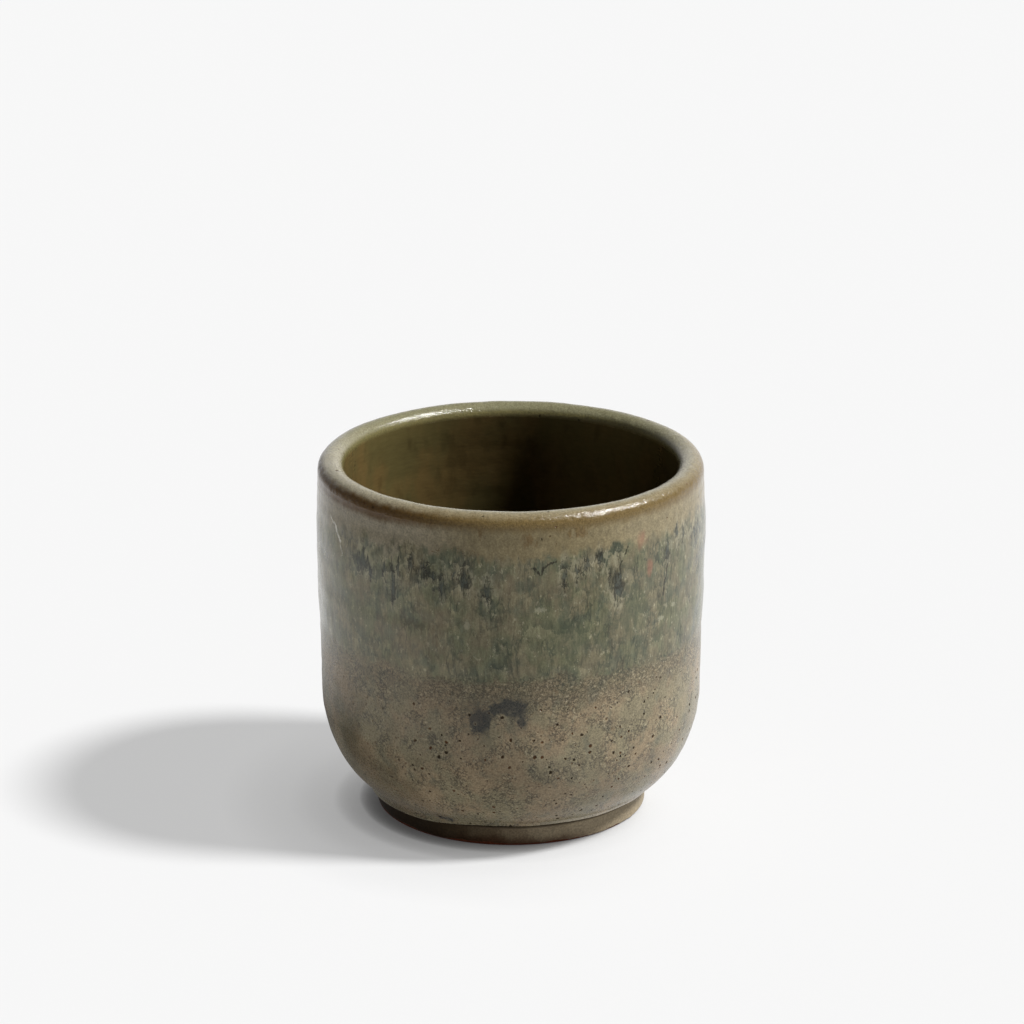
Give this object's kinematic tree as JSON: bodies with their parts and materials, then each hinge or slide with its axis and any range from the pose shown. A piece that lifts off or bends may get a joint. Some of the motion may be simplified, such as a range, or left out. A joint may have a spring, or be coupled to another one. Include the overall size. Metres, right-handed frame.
{
  "type": "coffee cup",
  "caption": "Handleless thrown stoneware coffee cup with a full-round lip, rounded bowl, turned foot ring and layered running glazes.",
  "frame": {"origin": "centre of the standing ring, on the surface that the cup stands on", "axes": "+Z is the cup's turning axis, up through the mouth; -Y faces the viewer of the picture"},
  "size_m": [0.08, 0.08, 0.075],
  "materials": {
    "body_clay": "bare fired stoneware, fine grained and matte",
    "foot_clay": "bare reddish brown stoneware, wiped smooth, matte",
    "liner_glaze": "glossy olive brown liner glaze",
    "lip_glaze": "glossy glaze breaking from pale grey olive to iron brown",
    "base_glaze": "satin speckled buff glaze with pinholes",
    "upper_glaze": "glossy grey green glaze with dark run streaks",
    "foot_glaze": "thin taupe glaze fading to brown"
  },
  "bodies": {
    "root": {"stoneware_body": "body_clay", "foot_ring": "foot_clay", "liner_glaze": "liner_glaze", "lip_glaze": "lip_glaze", "base_glaze": "base_glaze", "upper_glaze": "upper_glaze", "foot_glaze": "foot_glaze"}
  },
  "joints": []
}
